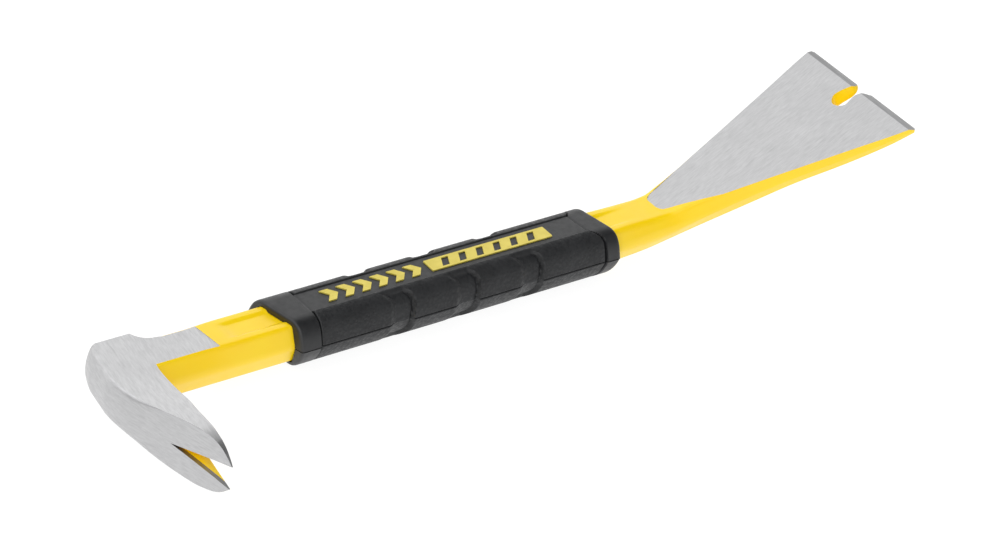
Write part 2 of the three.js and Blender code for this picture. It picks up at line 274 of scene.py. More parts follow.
class Look:
    """A procedural material: a principled shader and short helpers for the nodes that feed it."""

    def __init__(self, name, **values):
        self.material = bpy.data.materials.new(name)
        self.material.use_nodes = True
        self.tree = self.material.node_tree
        self.shader = self.tree.nodes["Principled BSDF"]
        for socket, value in values.items():
            self.shader.inputs[socket.replace("_", " ")].default_value = value
        self.place = self.tree.nodes.new("ShaderNodeTexCoord").outputs["Object"]

    def link(self, out, into):
        self.tree.links.new(out, into)

    def stretched(self, scale, turn=(0, 0, 0)):
        """The object's own coordinates, turned and scaled (in cycles per metre)."""
        node = self.tree.nodes.new("ShaderNodeMapping")
        node.vector_type = "TEXTURE"
        node.inputs["Rotation"].default_value = [math.radians(a) for a in turn]
        node.inputs["Scale"].default_value = [1 / cycles for cycles in scale]
        self.link(self.place, node.inputs["Vector"])
        return node.outputs["Vector"]

    def noise(self, scale, turn=(0, 0, 0), detail=3.0, rough=0.5, distortion=0.0):
        node = self.tree.nodes.new("ShaderNodeTexNoise")
        node.inputs["Scale"].default_value = 1.0
        node.inputs["Detail"].default_value = detail
        node.inputs["Roughness"].default_value = rough
        node.inputs["Distortion"].default_value = distortion
        self.link(self.stretched(scale, turn), node.inputs["Vector"])
        return node.outputs["Fac"]

    def cells(self, scale):
        node = self.tree.nodes.new("ShaderNodeTexVoronoi")
        node.feature = "SMOOTH_F1"
        node.inputs["Scale"].default_value = 1.0
        node.inputs["Smoothness"].default_value = 0.6
        self.link(self.stretched(scale), node.inputs["Vector"])
        return node.outputs["Distance"]

    def ranged(self, value, low, high, out_low, out_high):
        node = self.tree.nodes.new("ShaderNodeMapRange")
        for socket, number in (
            ("From Min", low), ("From Max", high), ("To Min", out_low), ("To Max", out_high),
        ):
            node.inputs[socket].default_value = number
        self.link(value, node.inputs["Value"])
        return node.outputs["Result"]

    def mixed(self, factor, first, second):
        node = self.tree.nodes.new("ShaderNodeMix")
        node.data_type = "RGBA"
        for socket, colour in ((6, first), (7, second)):
            if isinstance(colour, bpy.types.NodeSocket):
                self.link(colour, node.inputs[socket])
            else:
                node.inputs[socket].default_value = (*colour, 1)
        self.link(factor, node.inputs[0])
        return node.outputs[2]

    def bumped(self, height, depth, under=None):
        """A bump of this depth in millimetres, on top of an earlier one."""
        node = self.tree.nodes.new("ShaderNodeBump")
        node.inputs["Strength"].default_value = 1.0
        node.inputs["Distance"].default_value = depth * MM
        self.link(height, node.inputs["Height"])
        if under is not None:
            self.link(under, node.inputs["Normal"])
        return node.outputs["Normal"]

    def feed(self, socket, value):
        self.link(value, self.shader.inputs[socket])


def linear(red, green, blue):
    """A screen colour (0 to 255) in linear light."""
    shares = [value / 255 for value in (red, green, blue)]
    return tuple(c / 12.92 if c < 0.0404 else ((c + 0.055) / 1.055) ** 2.4 for c in shares)


def yellow_paint():
    look = Look("yellow_paint", Coat_Weight=0.2, Coat_Roughness=0.15)
    tone = look.noise((60, 60, 60), detail=4)
    look.feed("Base Color", look.mixed(
        look.ranged(tone, 0.35, 0.65, 0, 1), linear(255, 213, 0), linear(255, 219, 4),
    ))
    look.feed("Roughness", look.ranged(look.noise((300, 300, 300)), 0.3, 0.7, 0.3, 0.42))
    forged = look.bumped(look.noise((110, 110, 110), detail=2), 0.07)
    peel = look.bumped(look.noise((1500, 1500, 1500), detail=2), 0.01, forged)
    look.feed("Normal", peel)
    return look.material


def ground_steel(name, cycles, turn, shade=1.0):
    """Bare steel off a grinding belt: fine lines one way, a few deeper strokes and a soft change of tone.
    cycles says how finely the lines vary along each axis, and turn how far they lean in plan. shade scales
    every grey down as painted shade, for faces that catch less light."""
    look = Look(name, Metallic=1.0)
    coarser = [count * 0.55 for count in cycles]

    # The shade factor darkens all these greys: painted shade for this copy's faces.
    def grey(value):
        return linear(value * shade, value * shade, (value + 1) * shade)

    strokes = look.noise(cycles, (0, 0, turn), detail=4, rough=0.65)
    scores = look.noise(coarser, (0, 0, turn), detail=2, rough=0.4, distortion=0.2)
    patches = look.noise((60, 110, 110), detail=3)
    tone = look.mixed(look.ranged(strokes, 0.3, 0.7, 0, 1), grey(187), grey(204))
    worn = look.mixed(look.ranged(patches, 0.35, 0.7, 0, 0.25), tone, grey(186))
    scored = look.mixed(look.ranged(scores, 0.62, 0.78, 0, 0.3), worn, grey(162))
    look.feed("Base Color", scored)
    look.feed("Roughness", look.ranged(strokes, 0.3, 0.7, 0.44, 0.34))
    cut = look.bumped(strokes, 0.005)
    look.feed("Normal", look.bumped(scores, 0.007, cut))
    return look.material


def hard_plastic():
    look = Look("shell_plastic", Specular_IOR_Level=0.6)
    tone = look.noise((90, 90, 90), detail=4)
    look.feed("Base Color", look.mixed(
        look.ranged(tone, 0.3, 0.7, 0, 1), linear(23, 24, 26), linear(30, 31, 33),
    ))
    look.feed("Roughness", look.ranged(look.noise((700, 700, 700)), 0.3, 0.7, 0.36, 0.5))
    look.feed("Normal", look.bumped(look.noise((2600, 2600, 2600), detail=3), 0.02))
    return look.material


def soft_rubber():
    look = Look("soft_grip", Specular_IOR_Level=0.46)
    tone = look.noise((120, 120, 120), detail=5)
    look.feed("Base Color", look.mixed(
        look.ranged(tone, 0.3, 0.7, 0, 1), linear(24, 25, 27), linear(35, 36, 38),
    ))
    grain = look.cells((1100, 1100, 1100))
    look.feed("Roughness", look.ranged(grain, 0.1, 0.7, 0.4, 0.6))
    leather = look.bumped(grain, 0.1)
    look.feed("Normal", look.bumped(look.noise((2400, 2400, 2400), detail=3), 0.03, leather))
    return look.material


def gold_trim():
    look = Look("gold_trim", Metallic=0.25)
    tone = look.noise((250, 250, 250), detail=4)
    look.feed("Base Color", look.mixed(
        look.ranged(tone, 0.3, 0.7, 0, 1), linear(210, 192, 78), linear(226, 208, 96),
    ))
    look.feed("Roughness", look.ranged(look.noise((900, 900, 900)), 0.3, 0.7, 0.32, 0.45))
    look.feed("Normal", look.bumped(look.noise((1800, 1800, 1800), detail=2), 0.008))
    return look.material


PAINT, HEAD_STEEL, CLAW_STEEL, BLADE_STEEL, EDGE_STEEL, SLOT_STEEL = range(6)
BAR_LOOKS = [
    yellow_paint(),
    ground_steel("head_steel", (2300, 320, 110), -8),
    # claw_steel and blade_steel are the same ground steel made a little darker: painted shade for the light
    # on the claw's outer face and the blade.
    ground_steel("claw_steel", (80, 380, 2300), 0, 0.97),
    ground_steel("blade_steel", (300, 2500, 60), 10, 0.95),
    # edge_steel is the same ground steel made much darker: painted shade for the edge bevel and its corner
    # cuts, which reflect little light.
    ground_steel("edge_steel", (2300, 150, 100), 0, 0.74),
    # slot_steel is the same ground steel made darker: painted shade on the bare strip inside the claw's slot.
    ground_steel("slot_steel", (300, 300, 300), 0, 0.75),
]
HARD = hard_plastic()
SOFT = soft_rubber()
GOLD = gold_trim()

# ---------- forged bar ----------


def even_station(flat):
    return (flat, SHANK_RIDGE, SHANK_UNDER, SHANK_HEIGHT, -SHANK_HEIGHT, SHANK_ROUNDING)


def blade_station(x, thickness, top, ridge, under, radius):
    return (top, ridge, under, blade_top(x) + PROUD, blade_top(x) - thickness, radius)


# Stations along the shank: half widths at the top, the side ridge and the underside, then the heights over
# the mid-plane of the top and the underside, and how round the edges are.
STATIONS = {
    CLAW_INNER_X - 2: even_station(HEAD_FLAT),
    -78.0: even_station(HEAD_FLAT),
    -68.0: even_station(SHANK_FLAT),
    50.0: even_station(SHANK_FLAT),
    57.0: (5.5, 7.5, 4.7, SHANK_HEIGHT, -5.4, 1.9),
    62.0: (5.4, 7.5, 4.7, SHANK_HEIGHT, -5.1, 2.1),
    68.0: (5.4, 7.5, 4.8, 5.95, -4.5, 2.2),
}
# Stations along the blade: thickness, the three half widths, and how round the edges are.
BLADE_STATIONS = {
    73.0: (9.5, 5.6, 7.6, 4.9, 1.9),
    78.0: (9.8, 6.3, 8.0, 5.2, 1.5),
    84.0: (9.5, 7.5, 8.8, 6.2, 1.1),
    92.0: (8.4, 9.5, 10.3, 8.4, 0.8),
    100.0: (7.3, 11.5, 12.0, 10.6, 0.6),
    110.0: (6.1, 14.1, 14.4, 13.2, 0.5),
    126.0: (5.1, 18.3, 18.5, 17.6, 0.4),
    138.0: (3.5, 21.5, 21.6, 21.0, 0.3),
    TIP_X: (EDGE_THICKNESS, BLADE_HALF_WIDTH, BLADE_HALF_WIDTH, BLADE_HALF_WIDTH - 0.2, 0.15),
}
STATIONS |= {x: blade_station(x, *sizes) for x, sizes in BLADE_STATIONS.items()}
FLUTE_HALF_WIDTH = 3.5
FLUTE_DEPTH = 0.6
FLUTE_START_X = -69.0
FLUTE_END_X = 66.0
FLUTE_START_RUN = 4
FLUTE_END_RUN = 14
FLUTE_WALL = 1.1  # width of the flute's sloping walls
SIDE_STEPS = 6  # mesh steps across a side facet
FLAT_STEPS = 28  # mesh steps across the top or the underside


def bar_section(x):
    """One ring of the shank or blade: a rounded six-sided section with a shallow flute top and bottom."""
    places = list(STATIONS)
    top, ridge, under, upper, lower, radius = (
        smooth_between(places, column, x) for column in zip(*STATIONS.values())
    )
    middle = (upper + lower) / 2
    corners = [
        (under, lower), (ridge, middle), (top, upper),
        (-top, upper), (-ridge, middle), (-under, lower),
    ]
    radii = [radius, 2 * radius, 0.8 * radius, 0.8 * radius, 2 * radius, radius]
    ring = rounded_ring(corners, radii, [SIDE_STEPS, SIDE_STEPS, FLAT_STEPS] * 2)
    begun = smooth_step(FLUTE_START_X, FLUTE_START_X + FLUTE_START_RUN, x)
    ended = smooth_step(FLUTE_END_X - FLUTE_END_RUN, FLUTE_END_X, x)
    run = begun * (1 - ended)
    wall = smooth_step(FLUTE_HALF_WIDTH - FLUTE_WALL, FLUTE_HALF_WIDTH, np.abs(ring[:, 0]))
    hollow = FLUTE_DEPTH * run * (1 - wall)
    ring[:, 1] -= np.sign(ring[:, 1] - middle) * hollow
    return np.column_stack([np.full(len(ring), x), ring[:, 0], AXIS_Z + ring[:, 1]])


def shank_and_blade():
    """The bar from the head to the blade's edge, with few rings on the stretch that the grip covers."""
    covered = GRIP_END_X - 5
    claw_side = np.arange(CLAW_INNER_X - 2, -covered, 1.0)
    hidden = np.arange(-covered, covered, 8.0)
    blade_side = np.linspace(covered, TIP_X, 98)
    rings = [bar_section(x) for x in np.concatenate([claw_side, hidden, blade_side])]
    return outward(mesh_piece("forged_bar_body", *loft(rings)[:2], BAR_LOOKS))


# Down the claw, by Y: half heights, the outer face's crown, the rounding of its edges and the inner face.
CLAW_HALF_HEIGHTS = {
    STRIKE_Y: GROUND_HEIGHT, -8.0: GROUND_HEIGHT, -15.0: 6.2, -22.4: 7.2, -30.0: 8.2, -35.0: 8.5,
    -40.0: 7.75, -43.0: 6.5, -45.0: 5.0, CLAW_TIP_Y: 3.4,
}
CLAW_CROWNS = {STRIKE_Y: 1.4, -8.0: 0.85, -38.0: 0.85, CLAW_TIP_Y: 0.2}
CLAW_ROUNDINGS = {STRIKE_Y: 1.3, -12.0: 1.5, -26.0: 0.3, CLAW_TIP_Y: 0.15}
CLAW_INNER = {
    -4.0: CLAW_INNER_X, -7.3: -91.7, -22.8: -92.8, -29.0: -93.7, -38.0: -94.3, CLAW_TIP_Y: CLAW_TIP_X,
}


def claw_outer_x(y):
    """The claw's outer face at mid-height, from the strike face round to the tips."""
    bulge_y = -6.5
    t = np.linspace(0, 1, 60)
    heel = bezier((STRIKE_CORNER_X, STRIKE_Y), (CLAW_BACK_X + 0.6, 4.5),
                  (CLAW_BACK_X, -0.5), (CLAW_BACK_X, bulge_y), t)
    blade = bezier((CLAW_BACK_X, bulge_y), (CLAW_BACK_X, -17), (CLAW_BACK_X + 5.5, -27),
                   (CLAW_TIP_X - 0.5, CLAW_TIP_Y), t)
    line = np.concatenate([heel, blade[1:]])[::-1]
    return np.interp(y, line[:, 1], line[:, 0])


def claw_inner_x(y):
    """The claw's inner face, and on the far side of the shank the fillet up to the strike face."""
    if y > HEAD_FLAT:
        fillet = bezier((HEAD_JOIN_X, HEAD_FLAT), (-87.0, 5.0), (-89.4, 6.6),
                        (STRIKE_END_X, STRIKE_Y), np.linspace(0, 1, 40))
        return float(np.interp(y, fillet[:, 1], fillet[:, 0]))
    if y > -HEAD_FLAT + 0.5:
        return HEAD_JOIN_X
    return float(along(CLAW_INNER, y))


CLAW_ARC, CLAW_FLAT, CLAW_FACE = 5, 8, 14  # mesh steps round an edge, across a flat and across the outer face


def claw_section(y):
    """One ring across the head or claw, crowned on its outer face."""
    half = float(along(CLAW_HALF_HEIGHTS, y)) + PROUD
    crown = float(along(CLAW_CROWNS, y))
    corner = float(along(CLAW_ROUNDINGS, y))
    inner = claw_inner_x(y)
    round_y = max(0.0, (y - (STRIKE_Y - STRIKE_ROUNDING)) / STRIKE_ROUNDING)
    edge = float(claw_outer_x(y)) + crown + STRIKE_ROUNDING * (1 - math.sqrt(max(0.0, 1 - round_y**2)))
    corners = [(inner, -half), (inner, half), (edge, half), (edge, -half)]
    radii = [0.35, 0.35, corner, corner]
    ring = rounded_ring(corners, radii, [CLAW_FLAT, CLAW_FLAT, CLAW_FACE, CLAW_FLAT], CLAW_ARC)
    near_edge = smooth_step(inner, edge, ring[:, 0])
    ring[:, 0] -= crown * near_edge * np.clip(1 - (ring[:, 1] / half) ** 2, 0, 1)
    return np.column_stack([ring[:, 0], np.full(len(ring), y), AXIS_Z + ring[:, 1]])


def head_and_claw():
    """The head from the strike face to the claw's tips, ground bare outside and painted inside."""
    near_strike = STRIKE_Y - STRIKE_ROUNDING * (1 - np.cos(np.linspace(0, math.pi / 2, 5)))
    # Close rings at each side of the shank, where the inner face steps out to meet it.
    shank_sides = [HEAD_FLAT + 0.01, HEAD_FLAT - 0.3, -HEAD_FLAT + 0.7, -HEAD_FLAT + 0.3]
    stations = np.concatenate([near_strike, np.arange(8.2, HEAD_FLAT + 0.2, -0.4), shank_sides,
                               np.arange(-5.0, CLAW_TIP_Y + 0.3, -0.7), [CLAW_TIP_Y]])
    rings = [claw_section(y) for y in stations]
    inner_steps = CLAW_ARC + CLAW_FLAT + CLAW_ARC

    def slot_of(ring, side):
        if side is None:
            return HEAD_STEEL
        return PAINT if side < inner_steps else CLAW_STEEL

    points, faces, slots = loft(rings, slot_of)
    return outward(mesh_piece("head", points, faces, BAR_LOOKS, slots))


def head_grinding(up):
    """Grinds the head's top or bottom to one face that follows the claw's leaf shape."""
    ys = np.concatenate([[STRIKE_Y + 3], np.arange(-8, CLAW_TIP_Y, -0.8), [CLAW_TIP_Y, CLAW_TIP_Y - 3]])
    line = [(y, AXIS_Z + up * float(along(CLAW_HALF_HEIGHTS, y))) for y in ys]
    outline = [*line, (ys[-1], AXIS_Z + up * 14), (ys[0], AXIS_Z + up * 14)]
    cutter = prism(outline, (CLAW_BACK_X - 4, PAINT_END_X), "x", BAR_LOOKS, HEAD_STEEL)
    for vertex in cutter.data.vertices:
        vertex.co.x -= PAINT_END_LEAN * vertex.co.y
    return cutter


def claw_slot():
    """The nail slot: a long V, bare near the outer face and painted further in. The bare strip takes the
    darker slot steel: painted shade inside the slot.
    """
    ys = np.linspace(SLOT_ROOT_Y, CLAW_TIP_Y - 3, 24)
    spread = SLOT_TIP_HALF / (SLOT_ROOT_Y - CLAW_TIP_Y)
    levels = [
        lambda y: CLAW_BACK_X - 4,
        lambda y: float(claw_outer_x(y)) + SLOT_BARE_DEPTH,
        lambda y: HEAD_JOIN_X,
    ]
    points, faces, slots = [], [], []
    for level in levels:
        for up in (1, -1):
            points += [(level(y), y, AXIS_Z + up * (SLOT_ROOT_Y - y) * spread) for y in ys]
    count = len(ys)
    for depth, slot in ((0, SLOT_STEEL), (1, PAINT)):
        for wall in (0, 1):
            first = (2 * depth + wall) * count
            for i in range(count - 1):
                faces.append((first + i, first + i + 1, first + i + 1 + 2 * count, first + i + 2 * count))
                slots.append(slot)
        ends = [(2 * depth + wall) * count + count - 1 for wall in (0, 1)]
        faces.append((ends[0], ends[1], ends[1] + 2 * count, ends[0] + 2 * count))
        slots.append(slot)
    for first in (0, 4 * count):
        for i in range(count - 1):
            faces.append((first + i, first + i + 1, first + count + i + 1, first + count + i))
            slots.append(PAINT)
    cutter = mesh_piece("slot", points, faces, BAR_LOOKS, slots)
    work = bmesh.new()
    work.from_mesh(cutter.data)
    bmesh.ops.remove_doubles(work, verts=work.verts, dist=1e-7)
    bmesh.ops.recalc_face_normals(work, faces=work.faces)
    work.to_mesh(cutter.data)
    work.free()
    return cutter


# Where the blade's ground face ends around its blunt nose, on the claw's side and on the other: Y, and the
# distance from the nose towards the edge.
NOSE_CLAW_SIDE = [
    (-0.8, 0.0), (-1.9, 0.4), (-2.6, 1.1), (-3.2, 2.6), (-4.5, 6), (-7.8, 14.2), (-9.5, 19), (-14, 22),
]
NOSE_STRIKE_SIDE = [
    (3.0, 0.0), (4.0, 0.7), (4.7, 1.9), (5.4, 4.2), (6.9, 10), (8.6, 16), (10.2, 20), (14, 23),
]


def blade_grinding():
    """Grinds the blade's upper face flat, from its blunt nose to the edge."""
    outline = [(TIP_X + 4, -40)]
    outline += [(NOSE_X + ahead, y) for y, ahead in reversed(NOSE_CLAW_SIDE)]
    outline += [(NOSE_X + ahead, y) for y, ahead in NOSE_STRIKE_SIDE]
    outline += [(TIP_X + 4, 40)]
    count = len(outline)
    points = [(x, y, AXIS_Z + blade_top(x)) for x, y in outline]
    points += [(x, y, AXIS_Z + BLADE_TOP_AT_TIP + 20) for x, y in outline]
    faces = [(i, (i + 1) % count, (i + 1) % count + count, i + count) for i in range(count)]
    faces += [tuple(range(count - 1, -1, -1)), tuple(range(count, 2 * count))]
    slots = [PAINT] * count + [BLADE_STEEL, BLADE_STEEL]
    return outward(mesh_piece("blade_cut", points, faces, BAR_LOOKS, slots))


def edge_grinding():
    """The narrow bevel ground along the edge, given the darker edge steel as painted shade."""
    start, end = TIP_X - EDGE_BEVEL, TIP_X + 1
    top = AXIS_Z + blade_top(start)
    above = top + 9
    outline = [(start, top), (end, top - EDGE_SLOPE * (EDGE_BEVEL + 1)), (end, above), (start, above)]
    return prism(outline, (-30, 30), "y", BAR_LOOKS, EDGE_STEEL)


def corner_grinding(side):
    """The small corner cut of the blade's edge, in the same darker edge steel (painted shade)."""
    cut = EDGE_CORNER_CUT
    outline = [
        (TIP_X - cut, side * 30),
        (TIP_X - cut, side * BLADE_HALF_WIDTH),
        (TIP_X - cut / 2, side * (BLADE_HALF_WIDTH - cut / 3)),
        (TIP_X, side * (BLADE_HALF_WIDTH - cut)),
        (TIP_X + 2, side * (BLADE_HALF_WIDTH - cut)),
        (TIP_X + 2, side * 30),
    ]
    return prism(outline, (AXIS_Z, AXIS_Z + 40), "z", BAR_LOOKS, EDGE_STEEL)


# The rim of the nail slot in the blade's edge, as distances back from the edge and places across the blade.
BLADE_SLOT_RIM = [
    (-2.0, 5.2), (0.0, 3.7), (1.6, 2.6), (3.8, 2.9), (6.0, 3.2), (8.3, 3.1), (10.0, 2.0), (11.0, 0.3),
    (10.3, -1.5), (8.6, -2.3), (6.9, -1.8), (5.2, -1.25), (3.5, -1.2), (1.9, -1.9), (0.6, -3.6), (-2.0, -6.2),
]


def smooth_line(points, steps):
    """A curve through the points (Catmull-Rom), with this many steps between neighbours."""
    points = np.array([points[0], *points, points[-1]], float)
    line = []
    for i in range(1, len(points) - 2):
        a, b, c, d = points[i - 1:i + 3]
        for t in np.arange(steps) / steps:
            square = (2 * a - 5 * b + 4 * c - d) * t**2
            cube = (3 * b - a - 3 * c + d) * t**3
            line.append(0.5 * (2 * b + (c - a) * t + square + cube))
    return np.array([*line, points[-1]])


def blade_slot():
    """The nail slot in the blade's edge: a round root, a narrower neck, a flared mouth and sloping walls."""
    wall_run, wall_depth = 1.5, 2.8
    rim = smooth_line(BLADE_SLOT_RIM, 4) * (-1, 1) + (TIP_X, 0)
    ahead = np.roll(rim, -1, 0) - np.roll(rim, 1, 0)
    ahead[0], ahead[-1] = rim[1] - rim[0], rim[-1] - rim[-2]
    outside = np.column_stack([ahead[:, 1], -ahead[:, 0]]) / np.linalg.norm(ahead, axis=1)[:, None]
    if np.dot(outside[len(rim) // 2], (-1, 0)) < 0:
        outside = -outside
    rings = []
    for height, grow in ((-9, -wall_run), (-wall_depth, -wall_run), (0, 0), (2, 0.3)):
        ring = rim + outside * grow
        rings.append(np.column_stack([ring[:, 0], ring[:, 1], AXIS_Z + blade_top(ring[:, 0]) + height]))
    return outward(mesh_piece("blade_slot", *loft(rings)[:2], BAR_LOOKS))


def forged_bar():
    bar = combine(shank_and_blade(), head_and_claw(), "UNION")
    for cutter in (
        head_grinding(1), head_grinding(-1), claw_slot(), blade_grinding(), edge_grinding(),
        corner_grinding(1), corner_grinding(-1), blade_slot(),
    ):
        combine(bar, cutter, "DIFFERENCE")
    return finish_piece(bar, ["forged_bar"])


# ---------- grip ----------

PANEL_HALF_WIDTH = 4.05
RIM_RISE = 0.32  # of a pad's edge over the top panel
COLLAR_CLAW_X = -44.0
COLLAR_BLADE_X = 45.5
COLLAR_BLADE_SWEEP = 2.6
GROOVE = 0.35
RIM_GAP = 0.06  # between the top panel and a pad
SEAM_HALF = 0.14
# How far the shell lies below the pads' faces, at shares of the way from the panel down to the seam.
UNDER_PLACES = (0.0, 0.35, 1.0)
UNDER_DEPTHS = (1.1, 1.35, 1.9)
ROUNDING = 0.35  # of a pad's edges
FINGER_STEPS = (-16.8, 4.1, 25.0)
FINGER_LEAN = 0.26  # the hollows on the claw's side lie nearer the blade than those on the other side
FINGER_LENGTH = 8.0
FINGER_DEPTH = 1.0
STEP_RUN = 0.5
FALL_RUN = 2.8
STEP_BOW = 1.0
STEP_CURL = 1.6  # how far a step's upper end curls back, over this share of the way down
STEP_CURL_SHARE = 0.3
CREASE_DEPTH = 0.4
CREASE_WIDTH = 0.35
# The grip's ends lean towards the blade on the claw's side, its collars hardly: X per millimetre of -Y.
LEAN_PLACES = (-GRIP_END_X, COLLAR_CLAW_X, COLLAR_BLADE_X, GRIP_END_X)
LEANS = (0.235, 0.03, 0.11, 0.215)
LOWER_END_LEAN = 0.26  # of the claw end below the seam: X per millimetre downwards
PANEL_GROOVES = ((COLLAR_BLADE_X, 0.22), (COLLAR_CLAW_X, 0.1))  # across the top panel: place and depth
PANEL_GROOVE_WIDTH = 0.3
PAD_CLEARANCE = 0.12  # between a pad's back and the shell under it
RIM_SHARE = 0.25  # of the way down a pad, over which its rim's rise fades
LEDGE_SHARE = 0.012  # of the way down the shell, over which it drops from the panel to the pads' bed
PAD_STEPS = (260, 28)  # of a pad's mesh, along the grip and down its side


def leaned(points):
    """The grip's points with the lean of its ends and collars."""
    points = np.array(points, float)
    below = np.maximum(0, AXIS_Z - points[:, 2])
    points[:, 0] += LOWER_END_LEAN * below * (1 - smooth_step(-GRIP_END_X, COLLAR_CLAW_X, points[:, 0]))
    points[:, 0] -= points[:, 1] * np.interp(points[:, 0], LEAN_PLACES, LEANS)
    return points


def side_profile(ridge, up):
    """The grip's side from the top panel's edge to the seam, as a curve in Y and Z, rounder below."""
    if up > 0:
        shoulder = (PANEL_HALF_WIDTH + 3.9, GRIP_HEIGHT + 0.1)
        flank = (ridge - 1.0, 4.8)
    else:
        shoulder = (PANEL_HALF_WIDTH + 2.6, GRIP_HEIGHT)
        flank = (ridge - 0.9, 3.6)
    t = np.linspace(0, 1, 200)
    return bezier((PANEL_HALF_WIDTH, GRIP_HEIGHT), shoulder, flank, (ridge, 0), t)


def along_profile(profile, share):
    """Points at equal shares of a curve's length, with their outward normals."""
    steps = np.linalg.norm(np.diff(profile, axis=0), axis=1)
    length = np.concatenate([[0], np.cumsum(steps)])
    at = np.asarray(share) * length[-1]
    points = np.column_stack([np.interp(at, length, profile[:, k]) for k in (0, 1)])
    ahead = np.column_stack([np.interp(at + 0.05, length, profile[:, k]) for k in (0, 1)])
    back = np.column_stack([np.interp(at - 0.05, length, profile[:, k]) for k in (0, 1)])
    along = ahead - back
    normals = np.column_stack([-along[:, 1], along[:, 0]]) / np.linalg.norm(along, axis=1)[:, None]
    return points, normals


def blade_collar_x(share):
    """Where the collar at the blade end begins: it sweeps back over each shoulder."""
    return COLLAR_BLADE_X + COLLAR_BLADE_SWEEP * np.sin(np.minimum(np.asarray(share) / 0.45, 1) * math.pi / 2)


def finger_dip(x, y, share):
    """How far a pad's face lies below its full height: each hollow falls, then steps back up."""
    depth = 0.0
    fade = smooth_step(0.08, 0.2, share)
    corner = STEP_CURL * max(0.0, 1 - share / STEP_CURL_SHARE) ** 2
    for step_x in FINGER_STEPS:
        at = step_x - FINGER_LEAN * y + STEP_BOW * (math.sin(math.pi * share) - 0.5) - corner
        fall = smooth_step(at - FINGER_LENGTH, at - FINGER_LENGTH + FALL_RUN, x)
        rise = 1 - smooth_step(at - STEP_RUN, at, x)
        crease = CREASE_DEPTH * math.exp(-(((x - at + STEP_RUN) / CREASE_WIDTH) ** 2))
        depth = max(depth, (FINGER_DEPTH * fall * rise + crease) * fade)
    return depth


def edge_sink(distance):
    """How far a rounded edge has fallen at this distance in from it."""
    return ROUNDING - math.sqrt(ROUNDING**2 - max(0.0, ROUNDING - distance) ** 2)


def pad(name, side, up):
    """One soft pad: a skin over the shell's side with rounded rims and finger hollows."""
    profile = side_profile(PAD_RIDGE, up)
    length = np.linalg.norm(np.diff(profile, axis=0), axis=1).sum()
    rim, foot = RIM_GAP, length - SEAM_HALF
    rounded = ROUNDING * (1 - np.cos(np.linspace(0, math.pi / 2, 5)))
    places = np.concatenate([rim + rounded, np.linspace(rim, foot, PAD_STEPS[1])[1:-1], foot - rounded[::-1]])
    shares = places / length
    base, normals = along_profile(profile, shares)
    start = COLLAR_CLAW_X + GROOVE
    run = COLLAR_BLADE_X - GROOVE - start
    distances = np.concatenate([rounded, np.linspace(0, run, PAD_STEPS[0])[2:-2], run - rounded[::-1]])
    rings = []
    for distance in distances:
        skin, back = [], []
        for place, share, (y, z), (across, upward) in zip(places, shares, base, normals):
            end = float(blade_collar_x(share)) - GROOVE
            x = start + (end - start) * distance / run
            sink = edge_sink(min(place - rim, foot - place)) + edge_sink(min(distance, run - distance))
            sink += finger_dip(x, side * y, share)
            lift = RIM_RISE * (1 - smooth_step(0.0, RIM_SHARE, share)) - sink
            depth = np.interp(share, UNDER_PLACES, UNDER_DEPTHS) - PAD_CLEARANCE
            skin.append((x, side * (y + across * lift), AXIS_Z + up * (z + upward * lift)))
            back.append((x, side * (y - across * depth), AXIS_Z + up * max(SEAM_HALF, z - upward * depth)))
        rings.append(leaned(skin + back[::-1]))
    piece = outward(mesh_piece(name + "_skin", *loft(rings)[:2], [SOFT]))
    return finish_piece(piece, [name], 50)


def bore():
    """The shell's bore above the seam, a little clear of the shank, from one side to the other."""
    ring = bar_section(0.0)[:, 1:] - (0, AXIS_Z)
    upper = ring[ring[:, 1] > SEAM_HALF + 0.2]
    upper = upper[np.argsort(np.arctan2(upper[:, 1], upper[:, 0]))]
    clearance = 0.15
    grown = upper * (1 + clearance / np.linalg.norm(upper, axis=1))[:, None]
    ridge = float(np.abs(ring[:, 0]).max()) + clearance
    return np.array([(ridge, SEAM_HALF), *grown, (-ridge, SEAM_HALF)])


def shell_stations():
    """Places along the shell with how far its end roundings pull it in there."""
    rounding = [(0.0, 0.9), (0.05, 0.6), (0.2, 0.3), (0.5, 0.08), (0.9, 0.0)]
    claw_end = [(-GRIP_END_X + x, inset) for x, inset in rounding]
    blade_end = [(GRIP_END_X - x, inset) for x, inset in reversed(rounding)]
    places = [
        np.arange(-GRIP_END_X + 1.5, COLLAR_CLAW_X - 0.6, 1.0),
        np.arange(COLLAR_CLAW_X - 0.5, COLLAR_CLAW_X + 1.2, 0.1),
        np.arange(COLLAR_CLAW_X + 2, COLLAR_BLADE_X - 1.0, 3.0),
        np.arange(COLLAR_BLADE_X - 0.8, COLLAR_BLADE_X + COLLAR_BLADE_SWEEP + 0.8, 0.1),
        np.arange(COLLAR_BLADE_X + COLLAR_BLADE_SWEEP + 1.2, GRIP_END_X - 1.2, 0.8),
    ]
    return claw_end + [(x, 0.0) for x in np.concatenate(places)] + blade_end


